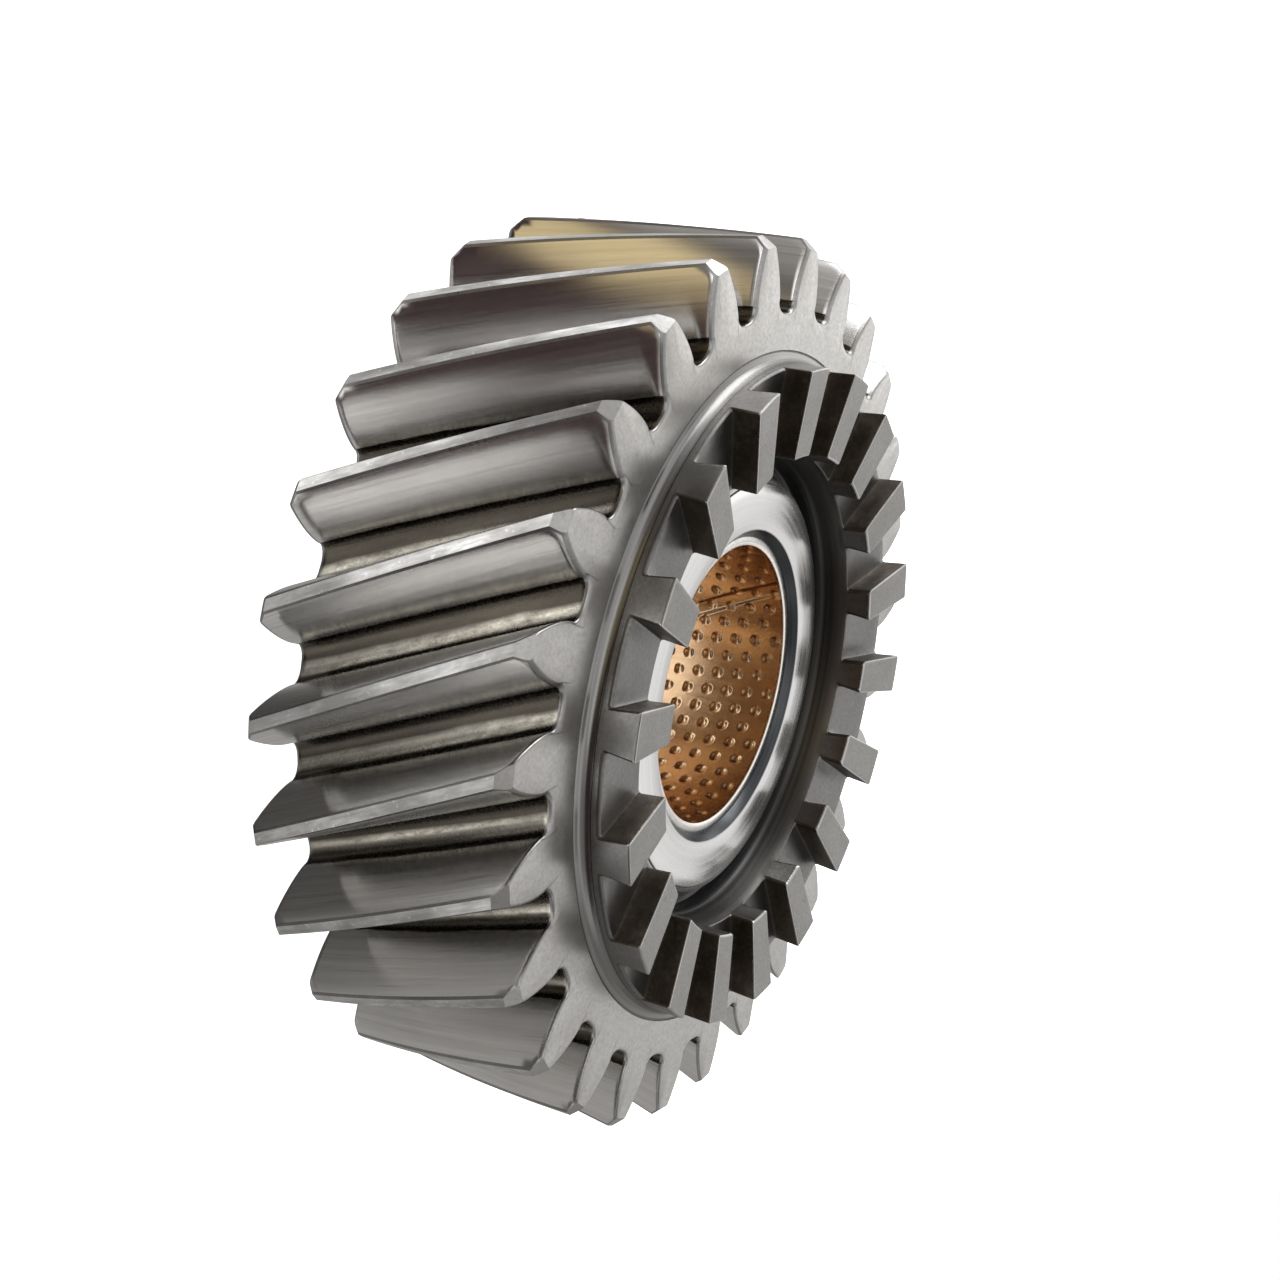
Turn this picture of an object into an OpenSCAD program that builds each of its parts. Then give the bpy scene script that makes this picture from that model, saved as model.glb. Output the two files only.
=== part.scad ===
// Helical gear wheel with a ring of face clutch teeth and a pressed-in bearing bush.
// It lies on its plain back face, axis along +Z, clutch teeth up, origin on the axis at the base.
// +X runs through the middle of one clutch tooth. All lengths are millimetres, all angles degrees.

/* [Helical teeth] */
// Number of helical teeth
teeth = 27; // [26:1:30]
// Module of the teeth, measured square to the tooth
normal_module = 4.5; // [4.4:0.05:4.8]
// Lead angle at the pitch circle, left hand
helix_angle = 23.7; // [15:0.1:28]
// Pressure angle, measured square to the tooth
pressure_angle = 20; // [18:0.5:22]
// Tooth height above the pitch circle
addendum = 5.15; // [4.5:0.05:5.3]
// Tooth depth below the pitch circle
dedendum = 6.35; // [5.8:0.05:6.6]
// Width of the tooth at its tip, from flank to flank
tip_land = 2; // [1.6:0.1:2.6]
// Width of the toothed rim along the axis
face_w = 42.5; // [41:0.5:48]
// 45 degree chamfer on both ends of each tooth tip
tip_chamfer = 1.75; // [1:0.05:2.2]
// Bevel between the tip land and the flanks
tip_bevel = 0.35; // [0.2:0.05:0.5]
// Bevel between the flanks and the two end faces
end_bevel = 0.5; // [0.2:0.05:0.7]
// Radius at the bottom of each tooth space
root_fillet = 2.4; // [1.8:0.1:2.5]
// Turn of the toothed rim against the clutch teeth, at the front face
tooth_phase = -3; // [-6:0.1:6]

/* [Clutch ring] */
// Number of clutch teeth on the front face
dogs = 18; // [16:1:19]
// Outer radius of the clutch ring
ring_ro = 52.54; // [51:0.1:53]
// Inner radius of the clutch ring
ring_ri = 38.75; // [38:0.05:39.5]
// Height of a clutch tooth's top above the rim face, at its outer end
dog_top_o = 7.73; // [7:0.05:8.5]
// Height of a clutch tooth's top above the rim face, at its inner end
dog_top_i = 5.88; // [5.2:0.05:6.6]
// Height of the floor between clutch teeth, at its outer end
floor_o = 3.19; // [2.6:0.05:3.8]
// Height of the floor between clutch teeth, at its inner end
floor_i = 1.52; // [1:0.05:2]
// Half width of a clutch tooth at the inner end of the floor
dog_half_w = 2.42; // [2.1:0.02:2.6]
// Widening of a clutch tooth's flank, per millimetre outwards
dog_spread = 0.026; // [0:0.002:0.04]
// Widening of a clutch tooth's flank, per millimetre upwards
back_taper = 0.11; // [0:0.01:0.13]
// Bevel along the top edges of the clutch teeth
dog_bevel = 0.3; // [0.1:0.05:0.5]
// Bevel at the outer end of the floors
floor_bevel = 0.65; // [0.3:0.05:1]
// Radius where the clutch ring meets the rim face
ring_fillet = 1.56; // [1:0.02:1.7]

/* [Hub] */
// Radius of the bore that takes the bush
gear_bore_r = 24.5; // [24:0.1:25]
// Chamfer at both ends of that bore
bore_chamfer = 1.27; // [0.8:0.01:1.6]
// Depth of the hub face below the rim face
hub_drop = 2.36; // [1.5:0.02:3]
// Outer radius of the flat hub face
hub_face_r = 33.2; // [32:0.1:33.6]
// Outer radius of the hub, at the groove
hub_r = 34.5; // [34:0.1:35]
// Outer radius of the groove around the hub
groove_ro = 37.7; // [37:0.1:38]
// Depth of the groove below the rim face
groove_drop = 6.5; // [5.5:0.1:9]

/* [Bush] */
// Running radius of the bush
bush_ri = 23; // [22.5:0.1:23.2]
// Length of the bush
bush_len = 37.5; // [36:0.5:38]
// Height of the bush's lower end above the back face
bush_base = 1.2; // [1:0.1:1.4]
// Chamfer at both ends of the running surface
bush_chamfer = 0.3; // [0.1:0.05:0.5]
// Depth of the slanting oil groove
oil_groove_depth = 0.25; // [0.1:0.05:0.4]
// Angular width of the slanting oil groove
oil_groove_deg = 7.4; // [5:0.1:9]
// Turn of the oil groove per millimetre of height
oil_groove_turn = 1.231; // [1:0.01:1.5]
// Diameter of the ball-pressed oil pockets
pocket_d = 1.8; // [1.4:0.1:2.2]
// Depth of the oil pockets
pocket_depth = 0.22; // [0.1:0.02:0.3]

/* [Hidden] */
$fn = 96;

// Involute geometry in the plane of rotation
pitch_r = teeth * normal_module / cos(helix_angle) / 2;
tip_r = pitch_r + addendum;
root_r = pitch_r - dedendum;
trans_pa = atan(tan(pressure_angle) / cos(helix_angle));
base_r = pitch_r * cos(trans_pa);
twist_deg = face_w * tan(helix_angle) / pitch_r * 180 / PI;
deg_mm = 180 / PI;

function clamp1(v) = min(1, max(-1, v));
function alpha(r) = acos(clamp1(base_r / r));
function inv(a) = tan(a) * deg_mm - a;
// Half the angle that a tooth spans at radius r
function half_deg(r) = tip_land / 2 / tip_r * deg_mm + inv(alpha(tip_r)) - inv(alpha(max(r, base_r)));

// Root fillet: an arc from the foot of the flank to the bottom of the space
foot_r = max(root_r + root_fillet, base_r + 0.05);
foot_deg = half_deg(foot_r);
function fillet_r(t) = root_r + (foot_r - root_r) * (1 - sin(t));
function fillet_deg(t) = foot_deg + (1 - cos(t)) * root_fillet / root_r * deg_mm;

// One side of a tooth from the tip down to the bottom of the space, as [radius, half angle],
// cut off at radius rc and pulled in by e millimetres on the flank
flank_steps = [0, 0.45, 0.8, 1];
function side(rc, e) = concat(
    [[rc, half_deg(rc - tip_bevel) - (tip_bevel * 0.9 + e) / rc * deg_mm]],
    [for (s = flank_steps) let (r = rc - tip_bevel + (foot_r - rc + tip_bevel) * s) [r, half_deg(r) - e / r * deg_mm]],
    [for (t = [30, 62]) [fillet_r(t), fillet_deg(t) - e * cos(t) / root_r * deg_mm]],
    [[root_r, fillet_deg(90)]]
);
side_n = 8;
// Outline points of the toothed rim at height z
function clip_r(z) = tip_r - max(0, tip_chamfer - min(z, face_w - z));
function pull(z) = max(0, end_bevel - min(z, face_w - z)) * 0.9;
function outline(z) = let (s = side(clip_r(z), pull(z)), turn = tooth_phase + twist_deg * (face_w - z) / face_w)
    [for (k = [0 : teeth - 1]) for (j = [0 : 2 * side_n - 1])
        let (p = j < side_n ? s[side_n - 1 - j] : s[j - side_n], a = turn + k * 360 / teeth + (j < side_n ? -p[1] : p[1]))
            [p[0] * cos(a), p[0] * sin(a), z]];
levels = concat([0, end_bevel, tip_chamfer],
    [for (i = [1 : 3]) tip_chamfer + (face_w - 2 * tip_chamfer) * i / 4],
    [face_w - tip_chamfer, face_w - end_bevel, face_w]);
ring_n = teeth * 2 * side_n;

// The toothed rim as one closed solid, solid to the axis
module toothed_disc() {
    pts = concat([for (z = levels) each outline(z)], [[0, 0, 0], [0, 0, face_w]]);
    last = len(levels) - 1;
    walls = [for (l = [0 : last - 1]) for (i = [0 : ring_n - 1])
        let (a = l * ring_n + i, b = l * ring_n + (i + 1) % ring_n) each [[a, a + ring_n, b + ring_n], [a, b + ring_n, b]]];
    base = [for (i = [0 : ring_n - 1]) [i, (i + 1) % ring_n, len(pts) - 2]];
    roof = [for (i = [0 : ring_n - 1]) [last * ring_n + (i + 1) % ring_n, last * ring_n + i, len(pts) - 1]];
    polyhedron(points = pts, faces = concat(walls, base, roof), convexity = 10);
}

// Radius at which the toothed rim and the turned web join
join_r = ring_ro + 4;
dog_slope = (dog_top_o - dog_top_i) / (ring_ro - ring_ri);
floor_slope = (floor_o - floor_i) / (ring_ro - ring_ri);

// Concave corner where the clutch ring rises from the rim face
function ring_corner(t) = [ring_ro + ring_fillet * (1 - cos(t)), face_w + ring_fillet * (1 - sin(t))];
// Turned section of web, clutch ring and hub, as [radius, height]
module web_section() {
    polygon(concat(
        [[gear_bore_r + bore_chamfer, 0], [join_r, 0], [join_r, face_w], [ring_ro + ring_fillet + 0.1, face_w],
         [ring_ro + ring_fillet - 0.12, face_w - 0.12]],
        [for (t = [68, 50, 32, 14]) ring_corner(t)],
        [[ring_ro, face_w + ring_fillet], [ring_ro, face_w + dog_top_o - dog_bevel],
         [ring_ro - dog_bevel, face_w + dog_top_o - dog_slope * dog_bevel],
         [ring_ri + dog_bevel, face_w + dog_top_i + dog_slope * dog_bevel], [ring_ri, face_w + dog_top_i - dog_bevel],
         [ring_ri, face_w + floor_i], [groove_ro, face_w - hub_drop - 0.8], [groove_ro, face_w - groove_drop + 0.8],
         [groove_ro - 0.8, face_w - groove_drop], [hub_r + 0.8, face_w - groove_drop], [hub_r, face_w - groove_drop + 0.8],
         [hub_r, face_w - hub_drop - 1], [hub_r - 0.35, face_w - hub_drop - 0.45], [hub_face_r + 0.25, face_w - hub_drop - 0.2],
         [hub_face_r, face_w - hub_drop], [gear_bore_r + bore_chamfer, face_w - hub_drop],
         [gear_bore_r, face_w - hub_drop - bore_chamfer], [gear_bore_r, bore_chamfer]]));
}

// Free space above the dished floors of the clutch ring
module floor_space() {
    rotate_extrude() polygon([
        [ring_ri - 1.2, face_w + floor_i - 1.2 * floor_slope],
        [ring_ro - floor_bevel, face_w + floor_o - floor_bevel * floor_slope],
        [ring_ro + 1, face_w + floor_o - (1 + floor_bevel) - floor_bevel * floor_slope + 0.02],
        [ring_ro + 1, face_w + dog_top_o + 3], [ring_ri - 1.2, face_w + dog_top_o + 3]]);
}

// Flank of the clutch tooth that lies on +X, as the y of a point at distance x and height z above the rim face
function dog_y(x, z) = dog_half_w + dog_spread * (x - ring_ri) + back_taper * (z - floor_i);
function dog_z(x) = dog_top_i + dog_slope * (x - ring_ri);
// Corners of the gap's cross-section beside that flank, from below the floor to above the bevelled edge
function gap_side(x) = [
    [x, dog_y(x, 0), face_w],
    [x, dog_y(x, dog_z(x) - dog_bevel), face_w + dog_z(x) - dog_bevel],
    [x, dog_y(x, dog_z(x) - dog_bevel) - dog_bevel - 1.2, face_w + dog_z(x) + 1.2]];
// A point mirrored across the middle of the gap
function across(p) = let (m = 360 / dogs) [p[0] * cos(m) + p[1] * sin(m), p[0] * sin(m) - p[1] * cos(m), p[2]];

// One gap between two neighbouring clutch teeth
module gap() {
    near = gap_side(ring_ri - 2);
    far = gap_side(ring_ro + 2);
    pts = concat(near, [for (p = near) across(p)], far, [for (p = far) across(p)]);
    polyhedron(points = pts, faces = [
        [0, 6, 9, 3],
        [0, 1, 7, 6], [1, 2, 8, 7],
        [3, 9, 10, 4], [4, 10, 11, 5],
        [2, 5, 11, 8],
        [0, 3, 4, 1], [1, 4, 5, 2],
        [6, 7, 10, 9], [7, 8, 11, 10]], convexity = 4);
}

module gear() {
    color([0.62, 0.62, 0.6]) union() {
        difference() {
            toothed_disc();
            translate([0, 0, -1]) cylinder(r = join_r, h = face_w + 2);
        }
        difference() {
            rotate_extrude() web_section();
            intersection() {
                floor_space();
                union() {
                    for (k = [0 : dogs - 1]) rotate([0, 0, k * 360 / dogs]) gap();
                }
            }
        }
    }
}

// Oil pockets on the unrolled wall, as [arc length, height], on a skewed lattice that starts at one pocket
// and ends on both sides of the strip's butt joint
pocket_arc = -7.36;
pocket_z = 35.59;
function pockets() = [for (n = [-22 : 22]) for (m = [-20 : 20])
    let (p = [3.32 * n - 0.46 * m, pocket_z + 1.335 * n - 3.78 * m])
        if (abs(p[0]) < PI * bush_ri - 1 && p[1] > bush_base + 1.3 && p[1] < bush_base + bush_len - 1.3) p];
module oil_pockets() {
    ball_r = (pocket_d * pocket_d / 4 + pocket_depth * pocket_depth) / 2 / pocket_depth;
    for (p = pockets())
        rotate([0, 0, (p[0] + pocket_arc) / bush_ri * deg_mm]) translate([bush_ri + pocket_depth - ball_r, 0, p[1]]) sphere(r = ball_r, $fn = 32);
}

function polar(r, a) = [r * cos(a), r * sin(a)];
// Slanting oil groove from end to end of the bush
module oil_groove() {
    zt = bush_base + bush_len;
    rotate([0, 0, 31.9 - oil_groove_turn * 30.34])
        linear_extrude(height = zt + 1, twist = -oil_groove_turn * (zt + 1), slices = 12, $fn = 16) polygon(concat(
            [for (i = [-1.5 : 1 : 1.5]) polar(bush_ri + oil_groove_depth, i * oil_groove_deg / 3.6)],
            [polar(bush_ri - 1.5, oil_groove_deg * 0.95), polar(bush_ri - 1.5, -oil_groove_deg * 0.95)]));
}

module bush() {
    zt = bush_base + bush_len;
    color([0.66, 0.46, 0.3]) difference() {
        rotate([0, 0, 181]) rotate_extrude() polygon([
            [bush_ri + bush_chamfer, bush_base], [gear_bore_r, bush_base], [gear_bore_r, zt], [bush_ri + bush_chamfer, zt],
            [bush_ri, zt - bush_chamfer], [bush_ri, bush_base + bush_chamfer]]);
        oil_pockets();
        oil_groove();
    }
}

gear();
bush();
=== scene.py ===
import math

import bmesh
import bpy
import numpy as np
from mathutils import Matrix, Vector


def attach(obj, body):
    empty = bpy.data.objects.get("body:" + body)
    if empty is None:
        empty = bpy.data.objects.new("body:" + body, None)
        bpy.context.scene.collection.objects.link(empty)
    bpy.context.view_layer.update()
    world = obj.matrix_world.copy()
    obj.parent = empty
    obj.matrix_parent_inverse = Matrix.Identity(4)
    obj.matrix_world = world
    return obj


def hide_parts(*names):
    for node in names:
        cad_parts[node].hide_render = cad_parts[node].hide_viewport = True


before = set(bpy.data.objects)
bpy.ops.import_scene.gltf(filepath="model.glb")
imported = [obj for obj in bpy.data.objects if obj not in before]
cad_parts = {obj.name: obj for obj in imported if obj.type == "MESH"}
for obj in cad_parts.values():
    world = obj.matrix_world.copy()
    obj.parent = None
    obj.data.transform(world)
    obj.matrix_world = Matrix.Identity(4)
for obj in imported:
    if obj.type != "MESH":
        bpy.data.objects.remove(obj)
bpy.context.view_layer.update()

scene = bpy.context.scene
MM = 0.001

# ---------------------------------------------------------------- dimensions, in mm
TEETH, M_N, BETA, PA = 27, 4.5, math.radians(23.7), math.radians(20.0)
FACE = 42.5
PITCH_R = TEETH * M_N / math.cos(BETA) / 2
TIP_R, ROOT_R = PITCH_R + 5.135, PITCH_R - 6.35
BASE_R = PITCH_R * math.cos(math.atan(math.tan(PA) / math.cos(BETA)))
TWIST = FACE * math.tan(BETA) / PITCH_R
PHASE = math.radians(-3.0)
TIP_LAND, TIP_CHAMFER, TIP_BEVEL, END_BEVEL, FILLET = 2.0, 1.75, 0.35, 0.55, 2.4
STEP_R, FOOT_R = 61.75, 61.5         # where the ground flank ends, and where the root's curve starts
RO, RI, DOGS = 52.54, 38.75, 18
TOP_O, TOP_I, FLOOR_O, FLOOR_I = 7.727, 5.88, 3.19, 1.52
HUB_Z = FACE - 2.36
BUSH_RI, BUSH_RO, BUSH_Z0, BUSH_Z1 = 23.0, 24.5, 1.2, 38.7


def inv(a):
    return math.tan(a) - a


def half(r):
    """Half the angle that a tooth spans at radius r."""
    def alpha(x):
        return math.acos(min(1.0, BASE_R / max(x, BASE_R)))
    return TIP_LAND / 2 / TIP_R + inv(alpha(TIP_R)) - inv(alpha(r))


# ---------------------------------------------------------------- mesh builder
class Shell:
    """Collects vertices, faces and the material zone of each face."""

    def __init__(self):
        self.v, self.f, self.z = [], [], []

    def add(self, pts):
        at = len(self.v)
        self.v.extend([tuple(p) for p in pts])
        return list(range(at, at + len(pts)))

    def face(self, idx, zone):
        if len(set(idx)) == len(idx):
            self.f.append(tuple(idx))
            self.z.append(zone)

    def strip(self, a, b, zone, closed=True):
        """Quads between two rows of the same length. zone is one zone, or one for each column."""
        n = len(a)
        for i in range(n if closed else n - 1):
            j = (i + 1) % n
            self.face((a[i], a[j], b[j], b[i]), zone[i] if isinstance(zone, (list, tuple)) else zone)

    def zip(self, a, b, zone):
        """Triangles between two closed rings with different counts, matched by angle."""
        def sort(ring):
            ang = [math.atan2(self.v[i][1], self.v[i][0]) % (2 * math.pi) for i in ring]
            k = int(np.argmin(ang))
            ring, ang = ring[k:] + ring[:k], ang[k:] + ang[:k]
            return ring + [ring[0]], ang + [ang[0] + 2 * math.pi]
        a, ta = sort(a)
        b, tb = sort(b)
        i = j = 0
        while i < len(a) - 1 or j < len(b) - 1:
            if j == len(b) - 1 or (i < len(a) - 1 and ta[i + 1] <= tb[j + 1]):
                self.face((a[i], a[i + 1], b[j]), zone)
                i += 1
            else:
                self.face((a[i], b[j + 1], b[j]), zone)
                j += 1

    def build(self, name, mats, sharp_deg):
        me = bpy.data.meshes.new(name)
        me.from_pydata([(x * MM, y * MM, z * MM) for x, y, z in self.v], [], self.f)
        for m in mats:
            me.materials.append(m)
        me.polygons.foreach_set("material_index", self.z)
        me.update()
        bm = bmesh.new()
        bm.from_mesh(me)
        bmesh.ops.recalc_face_normals(bm, faces=bm.faces)
        limit = math.radians(sharp_deg)
        for e in bm.edges:
            e.smooth = len(e.link_faces) == 2 and e.calc_face_angle(0) < limit
        for f in bm.faces:
            f.smooth = True
        bm.to_mesh(me)
        bm.free()
        ob = bpy.data.objects.new(name, me)
        scene.collection.objects.link(ob)
        return ob


# material zones of the wheel
(FLANK, LAND, TIPCH, ROOT, END, BACK, CORNER, WALL, DFLANK, DTOP, DEDGE, CONE, HUB, BORE, FLOOR, RIMEDGE, GROOVE) = range(17)


# ---------------------------------------------------------------- helical teeth
def tooth_side(rc, e):
    """One side of a tooth from the middle of its tip to the middle of the space: (radius, half angle, zone of the stretch that follows)."""
    hb = half(rc - TIP_BEVEL)
    hl = hb - (TIP_BEVEL * 0.95 + e) / rc
    out = [(rc, 0.0, LAND), (rc, hl * 0.5, LAND), (rc, hl, RIMEDGE)]
    top = rc - TIP_BEVEL
    for i in range(10):
        s = (i / 9) ** 0.9
        r = top + (STEP_R - top) * s
        out.append((r, half(r) - e / r, FLANK))
    out[-1] = (out[-1][0], out[-1][1], RIMEDGE)
    # a small notch where grinding stopped, then the rounded unground root
    r = STEP_R - 0.08
    out.append((r, half(r) - 0.07 / r - e / r, ROOT))
    foot = FOOT_R
    fh = half(foot) - 0.03 / foot
    for t in (14, 32, 50, 66, 80):
        c, s = math.cos(math.radians(t)), math.sin(math.radians(t))
        out.append((ROOT_R + (foot - ROOT_R) * (1 - s) - e * 0.8 * s, fh + (1 - c) * FILLET / ROOT_R - e * c / ROOT_R, ROOT))
    out.append((ROOT_R - e * 0.8, math.pi / TEETH, ROOT))
    return out


def end_pull(d):
    return 0.0 if d >= END_BEVEL else 0.9 * END_BEVEL * (1 - math.sqrt(max(0.0, 1 - (1 - d / END_BEVEL) ** 2)))


def tooth_row(z):
    d = min(z, FACE - z)
    side = tooth_side(TIP_R - max(0.0, TIP_CHAMFER - d), end_pull(d))
    turn = PHASE + TWIST * (FACE - z) / FACE
    pts, zones = [], []
    n = len(side) - 1
    for k in range(TEETH):
        mid = turn + k * 2 * math.pi / TEETH
        for j in range(n, 0, -1):
            r, h, _ = side[j]
            pts.append((r * math.cos(mid - h), r * math.sin(mid - h), z))
            zones.append(side[j - 1][2])
        for j in range(0, n):
            r, h, zn = side[j]
            pts.append((r * math.cos(mid + h), r * math.sin(mid + h), z))
            zones.append(zn)
    return pts, zones


g = Shell()
near = [0.0, 0.06, 0.2, END_BEVEL, 1.15, TIP_CHAMFER]
levels = near + list(np.linspace(TIP_CHAMFER, FACE - TIP_CHAMFER, 19)[1:-1]) + [FACE - d for d in reversed(near)]
rows = []
for z in levels:
    pts, zones = tooth_row(z)
    rows.append(g.add(pts))
for i in range(len(levels) - 1):
    zm = (levels[i] + levels[i + 1]) / 2
    d = min(zm, FACE - zm)
    zl = list(zones)
    if d < TIP_CHAMFER:
        zl = [TIPCH if q == LAND else q for q in zl]
    if d < END_BEVEL:
        zl = [q if q == TIPCH else RIMEDGE for q in zl]
    g.strip(rows[i], rows[i + 1], zl)


def inner_ring(row, r, z):
    return g.add([(r * x / math.hypot(x, y), r * y / math.hypot(x, y), z) for x, y, _ in (g.v[i] for i in row)])


front_in = inner_ring(rows[-1], ROOT_R - 1.1, FACE)
g.strip(rows[-1], front_in, END)
back_in = inner_ring(rows[0], ROOT_R - 1.1, 0.0)
g.strip(rows[0], back_in, BACK)


# ---------------------------------------------------------------- clutch ring
def z_top(r):
    return FACE + TOP_I + (TOP_O - TOP_I) / (RO - RI) * (r - RI)


def z_floor(r):
    return FACE + FLOOR_I + (FLOOR_O - FLOOR_I) / (RO - RI) * (r - RI)


def quarter(r, start, rad):
    """How far a rounded edge of radius rad has dropped at r, going outwards from start."""
    t = min(max((r - start) / rad, 0.0), 1.0)
    return rad * (1 - math.sqrt(1 - t * t))


def flank_angle(r, z):
    y = 2.42
    for _ in range(4):
        x = math.sqrt(r * r - y * y)
        y = 2.42 + 0.026 * (x - RI) + 0.110 * (z - FACE - FLOOR_I)
    return math.asin(y / r)


DB = 0.22                            # bevel along the tops
HALF_GAP = math.pi / DOGS


def dog_side(r):
    """Half of one period of the clutch ring at radius r, from the middle of the tooth to the middle of the gap: (angle, height, zone of the stretch that follows)."""
    drop = quarter(r, RO - 0.28, 0.28) + quarter(-r, -(RI + 0.35), 0.35)
    pull = quarter(r, RO - 0.26, 0.26) + quarter(-r, -(RI + 0.62), 0.62)
    low = quarter(r, RO - 0.72, 0.72) + quarter(-r, -(RI + 0.30), 0.30)
    zt, zf = z_top(r) - drop, z_floor(r) - low

    def fl(z):
        return flank_angle(r, z) - pull / r

    e = fl(zt) - DB / r
    rho = 0.55
    base = fl(zf)
    out = [(0.0, zt, DTOP), (e * 0.4, zt, DTOP), (e * 0.8, zt, DTOP), (e, zt, DEDGE),
           (fl(zt) - DB * 0.3 / r, zt - DB * 0.3, DEDGE), (fl(zt - DB), zt - DB, DFLANK),
           (fl((zt + zf) / 2), (zt + zf) / 2, DFLANK), (fl(zf + rho), zf + rho, DFLANK),
           (base + rho * 0.3 / r, zf + rho * 0.3, FLOOR), (base + rho / r, zf, FLOOR)]
    g0 = base + rho / r
    for s in (0.3, 0.6, 0.85):
        out.append((g0 + (HALF_GAP - g0) * s, zf, FLOOR))
    out.append((HALF_GAP, zf, FLOOR))
    return out


def dog_row(r):
    side = dog_side(r)
    n = len(side) - 1
    pts, zones = [], []
    for k in range(DOGS):
        mid = k * 2 * math.pi / DOGS
        for j in range(n, 0, -1):
            a, z, _ = side[j]
            pts.append((r * math.cos(mid - a), r * math.sin(mid - a), z))
            zones.append(side[j - 1][2])
        for j in range(0, n):
            a, z, zn = side[j]
            pts.append((r * math.cos(mid + a), r * math.sin(mid + a), z))
            zones.append(zn)
    return pts, zones


stations = [RI, RI + 0.06, RI + 0.2, RI + 0.38, RI + 0.62, 41.0, 43.5, 46.0, 48.5, 50.4, RO - 0.72, RO - 0.40, RO - 0.2, RO - 0.07, RO]
drows = []
for r in stations:
    pts, dzones = dog_row(r)
    drows.append(g.add(pts))
for i in range(len(stations) - 1):
    zl = list(dzones)
    rm = (stations[i] + stations[i + 1]) / 2
    if rm > RO - 0.28 or rm < RI + 0.38:
        zl = [DEDGE if q in (DTOP,) else q for q in zl]
    g.strip(drows[i], drows[i + 1], zl)

PER = len(dog_side(RO)) * 2 - 2      # points a period
NS = len(dog_side(RO)) - 1


def dog_end(row, r, zone):
    """The end face of every clutch tooth at radius r, and the ring of points at floor level under it."""
    side = dog_side(r)
    ea, fractions = side[3][0], (-1.0, -0.8, -0.4, 0.0, 0.4, 0.8, 1.0)
    ring = []
    for k in range(DOGS):
        o = k * PER
        left = {j: row[o + NS - j] for j in range(1, NS + 1)}     # index by position on the side list
        right = {j: row[o + NS + j] for j in range(0, NS)}
        mid = k * 2 * math.pi / DOGS
        top = [left[3], left[2], left[1], right[0], right[1], right[2], right[3]]

        def inner(level, wide):
            return g.add([(r * math.cos(mid + f * wide), r * math.sin(mid + f * wide), level) for f in fractions])
        prev = None
        for j in (5, 6, 7, 8, 9):
            level = side[j][1]
            wide = ea * (side[j][0] / side[5][0] if j < 8 else side[7][0] / side[5][0])
            cur = [left[j]] + inner(level, wide) + [right[j]]
            if prev is None:
                g.strip(top, cur[1:-1], zone, closed=False)
                g.face((left[5], left[4], cur[1]), zone)
                g.face((left[4], left[3], cur[1]), zone)
                g.face((right[5], cur[-2], right[4]), zone)
                g.face((right[4], cur[-2], right[3]), zone)
            else:
                g.strip(prev, cur, zone, closed=False)
            prev = cur
        # ring at floor level: gap, foot of the tooth, gap
        ring += [row[o + NS - j] for j in range(NS, 9, -1)] + prev + [row[o + NS + j] for j in range(10, NS)]
    return ring


ring_o = dog_end(drows[-1], RO, WALL)
ring_i = dog_end(drows[0], RI, FLOOR)


def follow(ring, r, z):
    """A ring of the same count at another radius and height."""
    out = []
    for i in ring:
        x, y, _ = g.v[i]
        q = math.hypot(x, y)
        out.append((r * x / q, r * y / q, z))
    return g.add(out)


# outwards: wall, small step, concave corner, dished rim face
last = ring_o
RF = 1.56
steps = [(RO, FACE + RF + 0.16, WALL), (RO - 0.07, FACE + RF + 0.10, GROOVE), (RO - 0.06, FACE + RF - 0.02, GROOVE)]
for t in (8, 20, 33, 46, 58, 70, 80):
    c, s = math.cos(math.radians(t)), math.sin(math.radians(t))
    steps.append((RO + RF * (1 - c), FACE + RF * (1 - s) - 0.02, CORNER))
steps += [(54.02, FACE - 0.10, CORNER), (54.12, FACE - 0.17, GROOVE), (54.24, FACE - 0.16, GROOVE), (54.36, FACE - 0.04, GROOVE),
          (54.9, FACE - 0.045, END), (56.0, FACE - 0.02, END), (57.2, FACE, END)]
for r, z, zone in steps:
    cur = follow(last, r, z)
    g.strip(last, cur, zone)
    last = cur
g.zip(last, front_in, END)

# inwards: coned wall, groove, hub, bore, back face
last = ring_i
steps = [(RI - 0.28, 42.8, CONE), (RI - 0.56, 41.6, CONE), (37.86, 40.1, CONE), (37.70, 39.52, GROOVE), (37.60, 39.30, GROOVE),
         (37.55, 37.4, GROOVE), (37.40, 36.6, GROOVE), (36.9, 36.1, GROOVE), (36.1, 35.98, GROOVE), (35.3, 36.1, GROOVE), (34.8, 36.6, GROOVE),
         (34.56, 37.4, GROOVE), (34.5, 38.9, GROOVE), (34.42, 39.26, DEDGE), (34.2, 39.6, DEDGE), (33.8, 39.84, DEDGE), (33.42, 39.92, DEDGE),
         (33.32, 39.93, GROOVE), (33.2, 40.10, DEDGE), (33.1, HUB_Z, DEDGE), (31.0, HUB_Z, HUB), (28.5, HUB_Z, HUB), (25.90, HUB_Z, HUB), (25.74, HUB_Z - 0.05, DEDGE),
         (24.56, 38.92, BORE), (24.5, 38.80, BORE), (24.5, 30.0, BORE), (24.5, 10.0, BORE), (24.5, 1.33, BORE), (24.56, 1.2, BORE),
         (25.74, 0.05, BORE), (25.85, 0.0, BORE), (30.0, 0.0, BACK), (40.0, 0.0, BACK), (50.0, 0.0, BACK)]
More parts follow.
